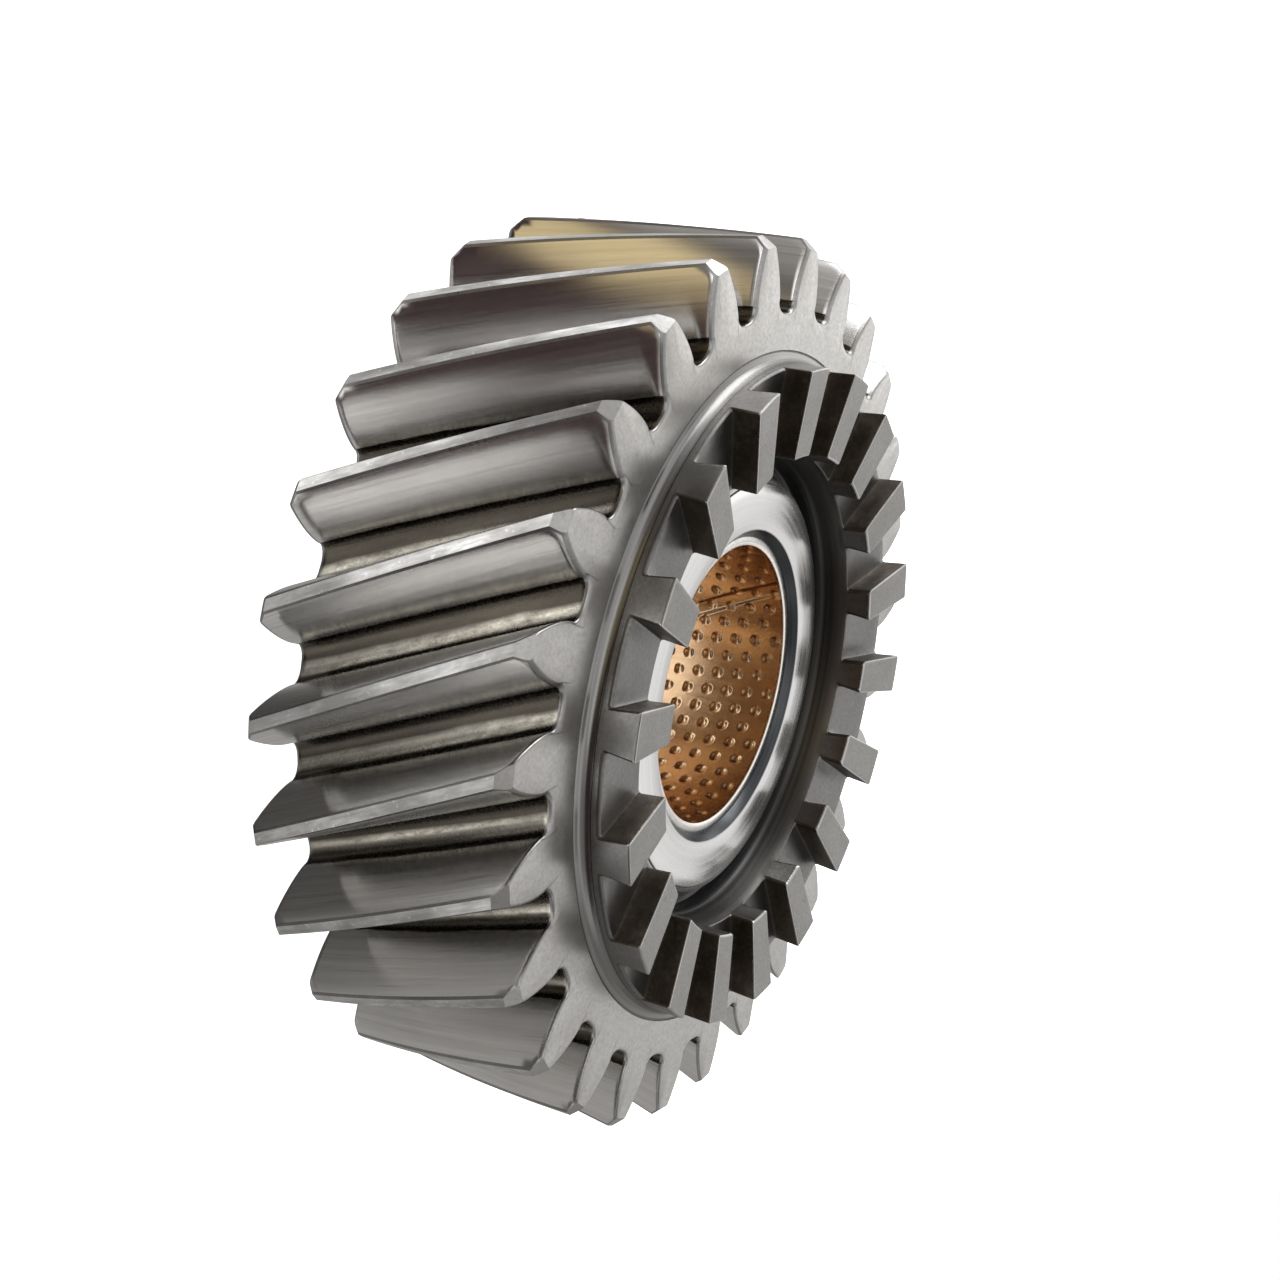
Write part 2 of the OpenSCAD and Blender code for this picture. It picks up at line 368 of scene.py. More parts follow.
for r, z, zone in steps:
    cur = follow(last, r, z)
    g.strip(last, cur, zone)
    last = cur
g.zip(last, back_in, BACK)

# ---------------------------------------------------------------- bush
b = Shell()
LINING, BEND, BEDGE, BACKING = range(4)
NCOL, Z_LO, Z_HI = 540, BUSH_Z0 + 0.3, BUSH_Z1 - 0.3
ROWS = 137
arc = np.arange(NCOL) / NCOL * 2 * math.pi * BUSH_RI
hgt = np.linspace(Z_LO, Z_HI, ROWS)
S, Z = np.meshgrid(arc, hgt)
S, Z = S.copy(), Z.copy()
# wall coordinate with its wrap at the far side, measured from the lattice's own origin
ORIGIN = -7.36
TURN = 2 * math.pi * BUSH_RI
LAT_Z, LAT_A, LAT_B = 35.59, (-0.46, -3.78), (3.32, 1.335)      # the pockets' lattice on the unrolled wall


def wrap(s):
    return (s - ORIGIN + TURN / 2) % TURN - TURN / 2


def nearest(s, z):
    """Offset from the nearest oil pocket, on the unrolled wall."""
    best = np.full(s.shape, 1e9)
    bs, bz = np.zeros(s.shape), np.zeros(s.shape)
    w = wrap(s)
    x, y = w, z - LAT_Z
    det = LAT_A[0] * LAT_B[1] - LAT_A[1] * LAT_B[0]
    m0 = (x * LAT_B[1] - y * LAT_B[0]) / det
    n0 = (LAT_A[0] * y - LAT_A[1] * x) / det
    for dm in (-1, 0, 1):
        for dn in (-1, 0, 1):
            m, n = np.round(m0) + dm, np.round(n0) + dn
            cx, cy = LAT_A[0] * m + LAT_B[0] * n, LAT_Z + LAT_A[1] * m + LAT_B[1] * n
            d = np.hypot(x - cx, z - cy)
            ok = (np.abs(cx) < TURN / 2 - 0.9) & (cy > BUSH_Z0 + 1.25) & (cy < BUSH_Z1 - 1.25) & (d < best)
            best, bs, bz = np.where(ok, d, best), np.where(ok, x - cx, bs), np.where(ok, z - cy, bz)
    return best, bs, bz


POCKET_R, POCKET_D = 0.9, 0.27
d, ds, dz = nearest(S, Z)
# pull the grid onto the pocket's edge, so that its rim is a clean circle
for radius, reach in ((POCKET_R, 0.135), (POCKET_R + 0.14, 0.0)):
    snap = (np.abs(d - radius) < reach) & (np.abs(Z - Z_LO) > 0.3) & (np.abs(Z - Z_HI) > 0.3)
    k = np.where(snap, (radius - d) / np.maximum(d, 1e-6), 0.0)
    S, Z = S + ds * k, Z + dz * k
d, ds, dz = nearest(S, Z)
depth = np.where(d < POCKET_R + 1e-3, POCKET_D * (1 - (np.minimum(d, POCKET_R) / POCKET_R) ** 3), 0.0)
lip = 0.018 * np.exp(-((d - POCKET_R - 0.12) / 0.11) ** 2) * (d > POCKET_R)
# slanting oil groove: angle of its middle against height
mid = np.radians(31.9 + 1.231 * (Z - 30.34))
off = (S / BUSH_RI - mid + math.pi) % (2 * math.pi) - math.pi
u = off * BUSH_RI
HW = 1.5
groove = 0.24 * np.clip((HW - np.abs(u)) / 0.40, 0, 1) ** 0.8
groove_lip = 0.03 * np.exp(-((np.abs(u) - HW - 0.12) / 0.14) ** 2)
# butt joint of the wrapped strip
joint = 0.10 * np.exp(-(np.abs(wrap(S) + TURN / 2 - TURN * (wrap(S) > 0)) / 0.13) ** 2)
Rr = BUSH_RI + np.maximum(depth, groove + 0.6 * depth) - lip - groove_lip + joint
Rr[0, :] = Rr[-1, :] = BUSH_RI
A = S / BUSH_RI
grid = []
for i in range(ROWS):
    grid.append(b.add(np.stack([Rr[i] * np.cos(A[i]), Rr[i] * np.sin(A[i]), Z[i]], 1).tolist()))
for i in range(ROWS - 1):
    b.strip(grid[i], grid[i + 1], LINING)


def bring(r, z):
    t = np.arange(NCOL) / NCOL * 2 * math.pi
    return b.add(np.stack([r * np.cos(t), r * np.sin(t), np.full(NCOL, z)], 1).tolist())


up = [(BUSH_RI + 0.05, BUSH_Z1 - 0.12, BEDGE), (BUSH_RI + 0.28, BUSH_Z1, BEDGE), (BUSH_RI + 0.55, BUSH_Z1, BEDGE), (BUSH_RO - 0.12, BUSH_Z1, BEND), (BUSH_RO, BUSH_Z1 - 0.1, BEND), (BUSH_RO, 20.0, BACKING)]
down = [(BUSH_RI + 0.05, BUSH_Z0 + 0.12, BEDGE), (BUSH_RI + 0.28, BUSH_Z0, BEDGE), (BUSH_RI + 0.55, BUSH_Z0, BEDGE), (BUSH_RO - 0.12, BUSH_Z0, BEND), (BUSH_RO, BUSH_Z0 + 0.1, BEND)]
last = grid[-1]
for r, z, zone in up:
    cur = bring(r, z)
    b.strip(last, cur, zone)
    last = cur
other = grid[0]
for r, z, zone in down:
    cur = bring(r, z)
    b.strip(other, cur, zone)
    other = cur
b.strip(last, other, BACKING)


# ---------------------------------------------------------------- materials
class Nodes:
    """Small helper round a material's node tree."""

    def __init__(self, name):
        self.mat = bpy.data.materials.new(name)
        self.mat.use_nodes = True
        self.t = self.mat.node_tree
        self.t.nodes.clear()
        self.out = self.t.nodes.new("ShaderNodeOutputMaterial")
        self.bsdf = self.t.nodes.new("ShaderNodeBsdfPrincipled")
        self.link(self.bsdf.outputs[0], self.out.inputs[0])
        self.co = self.t.nodes.new("ShaderNodeTexCoord").outputs["Object"]

    def link(self, a, c):
        self.t.links.new(a, c)

    def set(self, sock, v):
        if hasattr(v, "is_output"):
            self.link(v, sock)
        else:
            sock.default_value = v

    def math(self, op, a, c=0.0, clamp=False):
        n = self.t.nodes.new("ShaderNodeMath")
        n.operation, n.use_clamp = op, clamp
        self.set(n.inputs[0], a)
        self.set(n.inputs[1], c)
        return n.outputs[0]

    def vmul(self, v, k):
        n = self.t.nodes.new("ShaderNodeVectorMath")
        n.operation = "MULTIPLY"
        self.link(v, n.inputs[0])
        n.inputs[1].default_value = k
        return n.outputs[0]

    def noise(self, v, scale, detail=3.0, rough=0.55, dist=0.0):
        n = self.t.nodes.new("ShaderNodeTexNoise")
        self.link(v, n.inputs["Vector"])
        n.inputs["Scale"].default_value = scale
        n.inputs["Detail"].default_value = detail
        n.inputs["Roughness"].default_value = rough
        n.inputs["Distortion"].default_value = dist
        return n.outputs["Fac"]

    def voronoi(self, v, scale, feature="F1"):
        n = self.t.nodes.new("ShaderNodeTexVoronoi")
        n.feature = feature
        self.link(v, n.inputs["Vector"])
        n.inputs["Scale"].default_value = scale
        return n.outputs["Distance"]

    def ramp(self, fac, stops):
        n = self.t.nodes.new("ShaderNodeValToRGB")
        self.link(fac, n.inputs[0])
        el = n.color_ramp.elements
        while len(el) > 1:
            el.remove(el[-1])
        el[0].position, el[0].color = stops[0][0], tuple(stops[0][1]) + (1,)
        for p, c in stops[1:]:
            e = el.new(p)
            e.color = tuple(c) + (1,)
        return n.outputs[0]

    def maprange(self, v, a, c, lo, hi):
        n = self.t.nodes.new("ShaderNodeMapRange")
        self.set(n.inputs[0], v)
        for i, x in enumerate((a, c, lo, hi), 1):
            n.inputs[i].default_value = x
        return n.outputs[0]

    def mix(self, fac, a, c, mode="MIX"):
        n = self.t.nodes.new("ShaderNodeMix")
        n.data_type, n.blend_type = "RGBA", mode
        self.set(n.inputs[0], fac)
        for s, v in ((n.inputs[6], a), (n.inputs[7], c)):
            if hasattr(v, "is_output"):
                self.link(v, s)
            else:
                s.default_value = tuple(v) + (1,)
        return n.outputs[2]

    def radial(self):
        """(radius, height) of the point, in metres."""
        n = self.t.nodes.new("ShaderNodeVectorMath")
        n.operation = "LENGTH"
        self.link(self.vmul(self.co, (1, 1, 0)), n.inputs[0])
        s = self.t.nodes.new("ShaderNodeSeparateXYZ")
        self.link(self.co, s.inputs[0])
        return n.outputs["Value"], s.outputs[2]

    def combine(self, x, y, z):
        n = self.t.nodes.new("ShaderNodeCombineXYZ")
        for s, v in zip(n.inputs, (x, y, z)):
            self.set(s, v)
        return n.outputs[0]

    def turned(self, wobble=0.02):
        """Coordinates that run slowly along a turned groove and fast across it."""
        r, z = self.radial()
        w = self.vmul(self.co, (wobble, wobble, 0))
        s = self.t.nodes.new("ShaderNodeSeparateXYZ")
        self.link(w, s.inputs[0])
        return self.combine(self.math("ADD", r, s.outputs[0]), self.math("ADD", z, 0.0), s.outputs[1])

    def lead(self, along=0.03):
        """Coordinates that run slowly along the teeth's helix and fast across it."""
        _, z = self.radial()
        n = self.t.nodes.new("ShaderNodeVectorRotate")
        n.rotation_type = "Z_AXIS"
        self.link(self.vmul(self.co, (1, 1, along)), n.inputs["Vector"])
        self.link(self.math("MULTIPLY", z, TWIST / (FACE * MM)), n.inputs["Angle"])
        return n.outputs[0]

    def across(self):
        """Distance in mm across a tooth space from its middle, growing with the angle."""
        s = self.t.nodes.new("ShaderNodeSeparateXYZ")
        self.link(self.lead(1.0), s.inputs[0])
        turn = self.math("SUBTRACT", self.math("ARCTAN2", s.outputs[1], s.outputs[0]), PHASE + TWIST)
        part = self.math("FRACT", self.math("ADD", self.math("MULTIPLY", turn, TEETH / (2 * math.pi)), TEETH))
        return self.math("MULTIPLY", self.math("SUBTRACT", part, 0.5), 2 * math.pi * ROOT_R / TEETH)

    def bump(self, pairs):
        """Chains bumps. pairs is [(height, strength, distance in metres)]."""
        prev = None
        for h, strength, dist in pairs:
            n = self.t.nodes.new("ShaderNodeBump")
            n.inputs["Strength"].default_value = strength
            n.inputs["Distance"].default_value = dist
            self.link(h, n.inputs["Height"])
            if prev is not None:
                self.link(prev, n.inputs["Normal"])
            prev = n.outputs[0]
        self.link(prev, self.bsdf.inputs["Normal"])

    def finish(self, color, rough, metallic=1.0):
        self.set(self.bsdf.inputs["Base Color"], color)
        self.set(self.bsdf.inputs["Roughness"], rough)
        self.bsdf.inputs["Metallic"].default_value = metallic
        return self.mat


def grey(v, warm=0.0):
    return (v * (1 + warm), v, v * (1 - warm))


def m_flank():
    n = Nodes("ground_flank")
    v = n.lead(0.02)
    fine = n.noise(v, 3200, 2.0, 0.6)
    mid_ = n.noise(v, 900, 3.0, 0.6)
    broad = n.noise(v, 260, 2.0, 0.5)
    big = n.noise(n.co, 45, 3.0, 0.6)
    c = n.ramp(mid_, [(0.3, grey(0.54, 0.02)), (0.55, grey(0.61, 0.015)), (0.75, grey(0.67, 0.01))])
    c = n.mix(n.maprange(big, 0.45, 0.75, 0.0, 0.25), c, grey(0.33, 0.03))
    c = n.mix(n.maprange(fine, 0.60, 0.72, 0.0, 0.35), c, grey(0.62, 0.0))
    c = n.mix(n.maprange(fine, 0.40, 0.30, 0.0, 0.30), c, grey(0.24, 0.02))
    # painted shade: a ragged dark line in the notch where the grinding wheel left the flank, and over the unground
    # strip under it
    r, _ = n.radial()
    rag = n.math("ADD", r, n.maprange(n.noise(n.lead(0.30), 330, 4.0, 0.68), 0.3, 0.7, -0.00026, 0.00026))
    line = n.maprange(rag, 0.06205, 0.06190, 0.0, 1.0)
    c = n.mix(line, c, (0.030, 0.026, 0.022))
    rough = n.math("ADD", n.maprange(fine, 0.3, 0.7, 0.165, 0.205), n.maprange(broad, 0.3, 0.7, -0.015, 0.02))
    n.bump([(fine, 0.08, 0.000003)])
    n.bsdf.inputs["Anisotropic"].default_value = 1.0
    n.link(n.vmul(n.co, (1, 1, 0)), n.bsdf.inputs["Tangent"])
    return n.finish(c, rough)


def m_land():
    n = Nodes("tooth_land")
    v = n.lead(0.05)
    fine = n.noise(v, 2200, 3.0, 0.6)
    patch = n.noise(n.lead(0.4), 260, 4.0, 0.65)
    sp = n.noise(n.co, 1100, 3.0, 0.6)
    c = n.ramp(patch, [(0.36, grey(0.26, 0.02)), (0.52, grey(0.42, 0.01)), (0.66, grey(0.62, 0.0))])
    c = n.mix(n.maprange(fine, 0.45, 0.7, 0.0, 0.4), c, grey(0.22, 0.03))
    c = n.mix(n.maprange(sp, 0.62, 0.72, 0.0, 0.5), c, grey(0.75, 0.0))
    r = n.maprange(patch, 0.3, 0.7, 0.36, 0.24)
    n.bump([(fine, 0.12, 0.00001), (sp, 0.12, 0.00002)])
    return n.finish(c, r)


def m_satin(name, lo, hi, r_lo, r_hi, warm=0.03, speck=0.5, bump=0.35, scale=1.0):
    """Fine-grained satin steel, as a hardened and blasted surface."""
    n = Nodes(name)
    grain = n.noise(n.co, 1700 * scale, 4.0, 0.65)
    cloud = n.noise(n.co, 85 * scale, 4.0, 0.6)
    spot = n.noise(n.co, 520 * scale, 3.0, 0.7)
    c = n.ramp(cloud, [(0.3, grey(lo, warm)), (0.7, grey(hi, warm * 0.6))])
    c = n.mix(n.maprange(grain, 0.35, 0.7, 0.0, 0.35), c, grey(lo * 0.62, warm))
    c = n.mix(n.maprange(spot, 0.62, 0.74, 0.0, speck), c, grey(lo * 0.45, warm * 1.8))
    r = n.math("ADD", n.maprange(grain, 0.3, 0.7, r_lo, r_hi), n.maprange(cloud, 0.3, 0.7, -0.04, 0.04))
    n.bump([(grain, bump, 0.00002), (spot, bump * 0.6, 0.00003)])
    return n.finish(c, r)


def m_turned(name, lo, hi, r_lo, r_hi, warm=0.0, scale=1500, bump=0.25, tint=None):
    """Turned steel with fine concentric marks."""
    n = Nodes(name)
    v = n.turned(0.015)
    marks = n.noise(v, scale, 2.0, 0.6)
    wide = n.noise(v, scale * 0.22, 2.0, 0.6)
    cloud = n.noise(n.co, 90, 3.0, 0.6)
    c = n.ramp(marks, [(0.3, grey(lo, warm)), (0.7, grey(hi, warm))])
    c = n.mix(n.maprange(wide, 0.4, 0.7, 0.0, 0.4), c, grey(lo * 0.8, warm))
    if tint:
        c = n.mix(n.maprange(cloud, 0.4, 0.7, 0.0, 0.5), c, tint)
    r = n.math("ADD", n.maprange(marks, 0.3, 0.7, r_lo, r_hi), n.maprange(cloud, 0.3, 0.7, -0.04, 0.04))
    n.bump([(marks, bump, 0.00001), (wide, bump, 0.000015)])
    return n.finish(c, r)


def m_root():
    n = Nodes("unground_root")
    grain = n.noise(n.co, 1900, 4.0, 0.65)
    cloud = n.noise(n.lead(0.15), 240, 3.0, 0.6)
    spot = n.noise(n.lead(0.5), 700, 3.0, 0.7)
    c = n.ramp(cloud, [(0.3, (0.034, 0.029, 0.024)), (0.7, (0.072, 0.064, 0.052))])
    # painted highlight: a brighter band along the middle of the trough, where its specular streak falls
    w = n.math("ADD", n.across(), n.maprange(cloud, 0.3, 0.7, -0.35, 0.35))
    painted_highlight_band = n.math("MULTIPLY", n.maprange(w, -0.20, 0.70, 0.0, 1.0), n.maprange(w, 2.1, 1.3, 0.0, 1.0))
    c = n.mix(n.math("MULTIPLY", painted_highlight_band, n.maprange(spot, 0.30, 0.62, 1.0, 0.55)), c, (0.56, 0.53, 0.46))
    c = n.mix(n.maprange(grain, 0.45, 0.70, 0.0, 0.22), c, (0.11, 0.10, 0.08))
    c = n.mix(n.maprange(spot, 0.60, 0.72, 0.0, 0.4), c, (0.055, 0.048, 0.038))
    # painted shade with some dirt: darker towards both flanks, and nearly black at the step
    r, _ = n.radial()
    rag = n.math("ADD", r, n.maprange(spot, 0.3, 0.7, -0.00008, 0.00008))
    c = n.mix(n.maprange(rag, 0.06030, 0.06100, 0.0, 0.55), c, (0.070, 0.064, 0.054))
    c = n.mix(n.maprange(rag, 0.06110, 0.06150, 0.0, 0.85), c, (0.025, 0.022, 0.018))
    rough = n.math("ADD", n.maprange(grain, 0.3, 0.7, 0.20, 0.30), n.maprange(spot, 0.3, 0.7, -0.03, 0.05))
    n.bump([(grain, 0.08, 0.000012)])
    return n.finish(c, rough)


def m_dogflank():
    n = Nodes("clutch_flank")
    grain = n.noise(n.co, 1300, 4.0, 0.65)
    cloud = n.noise(n.co, 170, 4.0, 0.65)
    c = n.ramp(cloud, [(0.3, (0.034, 0.027, 0.021)), (0.55, (0.070, 0.058, 0.046)), (0.8, (0.15, 0.125, 0.10))])
    c = n.mix(n.maprange(grain, 0.55, 0.72, 0.0, 0.35), c, (0.15, 0.12, 0.10))
    r = n.maprange(grain, 0.3, 0.7, 0.40, 0.58)
    n.bump([(grain, 0.4, 0.00006), (cloud, 0.3, 0.0001)])
    return n.finish(c, r, 0.9)


def m_bronze():
    n = Nodes("bronze_lining")
    streak = n.noise(n.vmul(n.co, (1, 1, 0.10)), 1300, 3.0, 0.6)
    cloud = n.noise(n.co, 120, 4.0, 0.6)
    c = n.ramp(cloud, [(0.25, (0.47, 0.315, 0.19)), (0.5, (0.55, 0.38, 0.235)), (0.75, (0.62, 0.44, 0.28))])
    c = n.mix(n.maprange(streak, 0.45, 0.7, 0.0, 0.22), c, (0.42, 0.29, 0.17))
    # darker in the bottom of pockets and groove
    r, _ = n.radial()
    c = n.mix(n.maprange(r, 0.02308, 0.02326, 0.0, 0.12), c, (0.25, 0.15, 0.085))
    rough = n.math("ADD", n.maprange(streak, 0.3, 0.7, 0.15, 0.22), n.maprange(cloud, 0.3, 0.7, -0.02, 0.03))
    n.bump([(streak, 0.10, 0.000006)])
    return n.finish(c, rough)


def m_cone():
    n = Nodes("coned_wall_painted_shade")
    marks = n.noise(n.turned(0.015), 1200, 2.0, 0.6)
    _, z = n.radial()
    # painted shade: the coned wall is coloured very dark for the shade down in the recess, lighter towards its top
    # edge
    c = n.ramp(marks, [(0.3, grey(0.035, 0.06)), (0.7, grey(0.07, 0.05))])
    c = n.mix(n.maprange(z, 0.0415, 0.0443, 0.0, 1.0), c, grey(0.14, 0.04))
    n.bump([(marks, 0.2, 0.00002)])
    return n.finish(c, n.maprange(marks, 0.3, 0.7, 0.30, 0.42))


mats = {
    FLANK: m_flank(),
    LAND: m_land(),
    TIPCH: m_satin("tip_chamfer", 0.26, 0.36, 0.28, 0.38, 0.02, 0.3, 0.12),
    ROOT: m_root(),
    END: m_satin("end_face", 0.27, 0.385, 0.30, 0.42, 0.045, 0.35, 0.22),
    BACK: m_turned("back_face", 0.36, 0.48, 0.30, 0.42, 0.02, 900, 0.2),
    CORNER: m_turned("ring_corner", 0.13, 0.26, 0.20, 0.34, 0.02, 1800, 0.12),
    WALL: m_satin("ring_wall", 0.17, 0.265, 0.30, 0.42, 0.03, 0.4, 0.22),
    DFLANK: m_dogflank(),
    DTOP: m_satin("clutch_top", 0.155, 0.225, 0.32, 0.44, 0.05, 0.5, 0.2, 1.2),
    DEDGE: m_satin("bright_edge", 0.28, 0.42, 0.24, 0.34, 0.02, 0.3, 0.08),
    CONE: m_cone(),
    HUB: m_turned("hub_face", 0.50, 0.57, 0.21, 0.29, 0.01, 1500, 0.03),
    BORE: m_turned("bore_chamfer", 0.04, 0.075, 0.24, 0.36, -0.06, 1400, 0.15, (0.03, 0.037, 0.048)),
    FLOOR: m_satin("clutch_floor", 0.09, 0.155, 0.30, 0.42, 0.04, 0.5, 0.25),
    RIMEDGE: m_satin("tooth_edge", 0.20, 0.29, 0.26, 0.38, 0.02, 0.3, 0.12),
    # painted shade: the grooves are coloured dark for the shade that lies in them
    GROOVE: m_turned("groove", 0.06, 0.11, 0.30, 0.45, 0.0, 1400, 0.3),
}
gear = g.build("gear_wheel", [mats[i] for i in range(17)], 24)
bush_mats = [m_bronze(),
             m_satin("bush_end", 0.42, 0.56, 0.26, 0.40, 0.02, 0.3, 0.2),
             m_satin("bush_edge", 0.62, 0.78, 0.24, 0.36, 0.10, 0.2, 0.1),
             m_satin("bush_back", 0.36, 0.48, 0.30, 0.42, 0.02, 0.3, 0.2)]
bush = b.build("bearing_bush", bush_mats, 40)

for ob, node, slot in ((gear, "gear", "gear_steel"), (bush, "bush", "bush_bronze")):
    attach(ob, "root")
    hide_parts(node)

# ---------------------------------------------------------------- floor
# A pale floor for the camera. The metal mirrors the studio on all sides instead, as in the photograph.
n = Nodes("studio_floor")
soft = n.noise(n.co, 3.0, 2.0, 0.5)
fr, _ = n.radial()
n.finish(n.ramp(soft, [(0.3, (0.90, 0.90, 0.905)), (0.7, (0.93, 0.93, 0.935))]), 0.75, 0.0)
n.bsdf.inputs["Emission Color"].default_value = (1, 1, 1, 1)
n.link(n.maprange(fr, 0.050, 0.059, 0.0, 1.1), n.bsdf.inputs["Emission Strength"])
show = n.t.nodes.new("ShaderNodeMixShader")
n.link(n.t.nodes.new("ShaderNodeLightPath").outputs["Is Camera Ray"], show.inputs[0])
n.link(n.t.nodes.new("ShaderNodeBsdfTransparent").outputs[0], show.inputs[1])
n.link(n.bsdf.outputs[0], show.inputs[2])
n.link(show.outputs[0], n.out.inputs[0])
me = bpy.data.meshes.new("floor")
me.from_pydata([(-6, -6, 0), (6, -6, 0), (6, 6, 0), (-6, 6, 0)], [], [(0, 1, 2, 3)])
me.materials.append(n.mat)
floor = bpy.data.objects.new("floor", me)
scene.collection.objects.link(floor)

# ---------------------------------------------------------------- camera, as in the photograph
SCALE = 0.715                        # mm for each unit of the camera fit, in which the tip radius is 100
AZ, EL = 0.46863063, 0.19369459
C = np.array([24.16448197, 11.29523567, 357.30867024])
TURN0 = math.radians(3.6128)
a = np.array([math.cos(EL) * math.cos(AZ), math.sin(EL), -math.cos(EL) * math.sin(AZ)])
e1 = np.cross(a, (0.0, 1.0, 0.0))
e1 /= np.linalg.norm(e1)
e2 = np.cross(a, e1)
R = np.stack([e1, e2, a], 1)         # columns: the wheel's own axes, seen by the camera


def to_row(v, point):
    """A vector or point of the fit, in the row frame."""
    x, y, z = v
    c, s = math.cos(-TURN0), math.sin(-TURN0)
    out = np.array([c * x - s * y, s * x + c * y, z])
    return (out * SCALE + np.array([0.0, 0.0, FACE])) * MM if point else out


right = to_row(R.T @ np.array([1.0, 0, 0]), False)
upv = to_row(R.T @ np.array([0, -1.0, 0]), False)
backv = to_row(R.T @ np.array([0, 0, -1.0]), False)
eye = to_row(-R.T @ C, True)
cam_data = bpy.data.cameras.new("camera")
cam_data.sensor_width = 36.0
cam_data.sensor_fit = "HORIZONTAL"
cam_data.lens = 1581.5580 / 1280 * 36.0
cam_data.clip_start, cam_data.clip_end = 0.01, 50.0
cam = bpy.data.objects.new("camera", cam_data)
scene.collection.objects.link(cam)
cam.matrix_world = Matrix(((right[0], upv[0], backv[0], eye[0]),
                           (right[1], upv[1], backv[1], eye[1]),
                           (right[2], upv[2], backv[2], eye[2]),
                           (0, 0, 0, 1)))
scene.camera = cam


# ---------------------------------------------------------------- light
def dirn(cx, cy, cz):
    """A direction given as seen in the picture (right, up, towards the camera), in the row frame."""
    v = right * cx + upv * cy + backv * cz
    return v / np.linalg.norm(v)


def card(name, way, dist, size, energy, color=(1, 1, 1)):
    """A soft area light at that direction from the wheel, facing it."""
    ld = bpy.data.lights.new(name, "AREA")
    ld.shape = "RECTANGLE"
    ld.size, ld.size_y = size
    ld.energy, ld.color = energy, color
    ob = bpy.data.objects.new(name, ld)
    scene.collection.objects.link(ob)
    pos = Vector(way) * dist + Vector((0, 0, 0.03))
    ob.location = pos
    ob.rotation_mode = "QUATERNION"
    ob.rotation_quaternion = (Vector((0, 0, 0.03)) - pos).to_track_quat("-Z", "Y")
    return ob


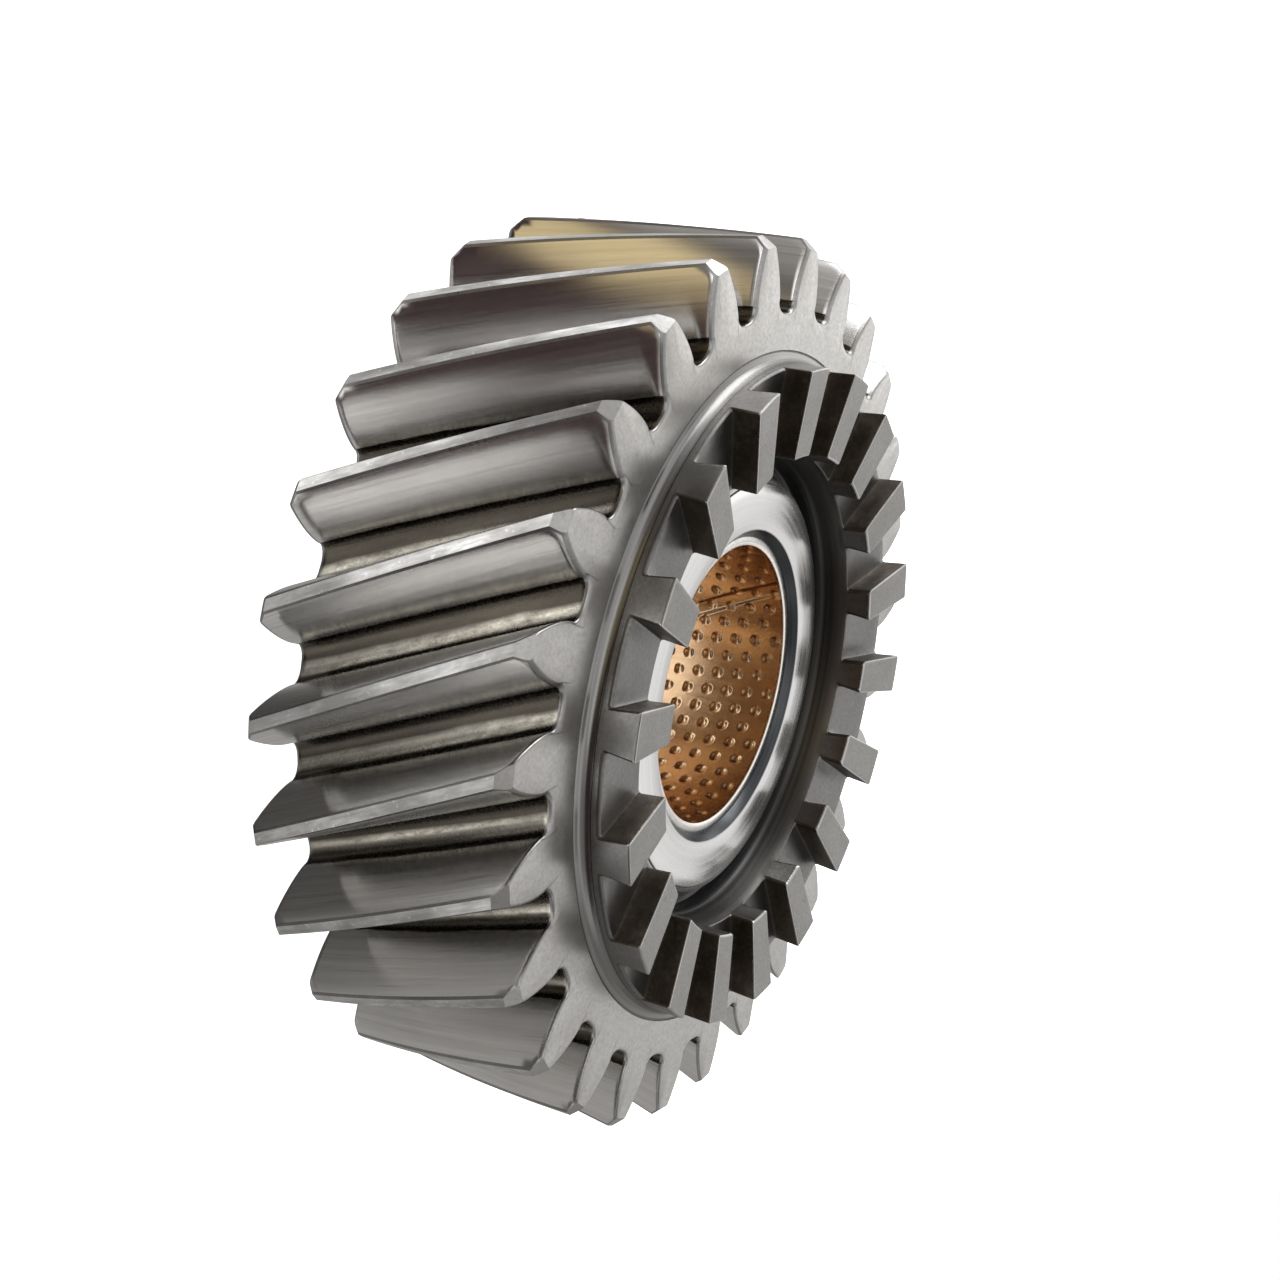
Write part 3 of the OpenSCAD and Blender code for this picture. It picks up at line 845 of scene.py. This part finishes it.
def studio_world():
    """A soft white studio, with the darker and warmer sides that the photograph's metal mirrors."""
    w = bpy.data.worlds.new("studio")
    scene.world = w
    w.use_nodes = True
    t = w.node_tree
    bg = t.nodes["Background"]
    co = t.nodes.new("ShaderNodeTexCoord").outputs["Generated"]

    def along(axis):
        n = t.nodes.new("ShaderNodeVectorMath")
        n.operation = "DOT_PRODUCT"
        t.links.new(co, n.inputs[0])
        n.inputs[1].default_value = tuple(axis)
        return n.outputs["Value"]

    side, up, near = along(right), along(upv), along(backv)

    def step(v, lo, hi):
        """0 below lo, 1 above hi, smooth between. Falls instead if lo is the larger."""
        n = t.nodes.new("ShaderNodeMapRange")
        n.interpolation_type = "SMOOTHSTEP"
        t.links.new(v, n.inputs[0])
        rise = lo < hi
        for i, x in enumerate((min(lo, hi), max(lo, hi), 0.0 if rise else 1.0, 1.0 if rise else 0.0), 1):
            n.inputs[i].default_value = x
        return n.outputs[0]

    def times(*parts):
        out = parts[0]
        for p in parts[1:]:
            n = t.nodes.new("ShaderNodeMath")
            n.operation = "MULTIPLY"
            t.links.new(out, n.inputs[0])
            if hasattr(p, "is_output"):
                t.links.new(p, n.inputs[1])
            else:
                n.inputs[1].default_value = p
            out = n.outputs[0]
        return out

    def over(fac, base, color):
        n = t.nodes.new("ShaderNodeMix")
        n.data_type = "RGBA"
        t.links.new(fac, n.inputs[0])
        if hasattr(base, "is_output"):
            t.links.new(base, n.inputs[6])
        else:
            n.inputs[6].default_value = tuple(base) + (1,)
        n.inputs[7].default_value = tuple(color) + (1,)
        return n.outputs[2]

    white = (WHITE, WHITE, WHITE * 0.99)
    c = over(step(up, 0.2, 0.9), white, (1.05, 1.05, 1.03))
    # brighter straight above, darker far beyond the wheel
    c = over(times(step(up, 0.86, 0.95), step(near, 0.16, 0.02)), c, (2.1, 2.1, 2.08))
    c = over(times(step(near, -0.62, -0.74), step(side, 0.3, 0.5), step(up, 0.05, -0.05)), c, (0.95, 0.94, 0.92))
    # calmer light from below, and from the left behind the wheel, with a dark corner there
    c = over(times(step(up, -0.40, -0.62), step(near, 0.20, -0.05)), c, (0.55, 0.54, 0.52))
    c = over(times(step(near, -0.45, -0.62), step(side, 0.35, 0.10), step(up, 0.75, 0.55)), c, (0.45, 0.44, 0.42))
    c = over(times(step(side, -0.52, -0.72), step(near, 0.06, -0.12), step(up, 0.80, 0.60)), c, (0.50, 0.49, 0.47))
    c = over(times(step(side, -0.80, -0.92), step(near, 0.40, 0.22)), c, (0.46, 0.45, 0.43))
    c = over(times(step(side, -0.80, -0.88), step(near, 0.47, 0.38), step(near, -0.08, 0.02)), c, (0.12, 0.115, 0.11))
    c = over(times(step(side, -0.32, -0.42), step(near, -0.12, -0.30), step(up, -0.12, 0.12), step(up, 0.86, 0.72)), c, (0.085, 0.080, 0.076))
    # a bright wall on the left
    c = over(times(step(side, -0.56, -0.68), step(near, 0.02, 0.16), step(up, -0.72, -0.50), step(side, -0.89, -0.81)), c, (2.0, 1.99, 1.95))
    # the room on the camera's side takes less of the light
    c = over(times(step(near, 0.16, 0.40), step(side, -0.42, -0.24), step(side, 0.75, 0.45)), c, (0.42, 0.40, 0.38))
    c = over(times(step(near, 0.70, 0.86), step(side, 0.03, 0.14), step(up, -0.60, -0.40), step(up, 0.60, 0.40)), c, (1.9, 1.87, 1.82))
    # the unlit part of it, to the left of the camera
    c = over(times(step(near, 0.00, 0.14), step(side, -0.62, -0.50), step(side, -0.03, -0.10)), c, (0.070, 0.046, 0.048))
    c = over(times(step(near, 0.84, 0.92), step(side, -0.14, -0.09), step(side, 0.12, 0.03), step(up, 0.02, 0.14)), c, (0.15, 0.145, 0.14))
    # a warm wooden surface in it
    c = over(times(step(near, 0.55, 0.75), step(side, -0.275, -0.235), step(side, -0.08, -0.13), step(up, -0.42, 0.10)), c, (1.05, 0.85, 0.48))
    # a brighter patch that the top of the rim mirrors
    c = over(times(step(near, -0.35, -0.55), step(side, 0.5, 0.7), step(up, -0.06, 0.08)), c, (2.4, 2.4, 2.36))
    plain = t.nodes.new("ShaderNodeMix")
    plain.data_type = "RGBA"
    t.links.new(t.nodes.new("ShaderNodeLightPath").outputs["Is Camera Ray"], plain.inputs[0])
    t.links.new(c, plain.inputs[6])
    plain.inputs[7].default_value = (1.0, 1.0, 1.0, 1)
    t.links.new(plain.outputs[2], bg.inputs[0])
    bg.inputs[1].default_value = 1.0


WHITE = 1.35
studio_world()
card("key", dirn(0.55, 0.75, -0.1), 0.9, (0.5, 0.5), 4.0)

scene.view_settings.view_transform = "Standard"
scene.view_settings.look = "None"
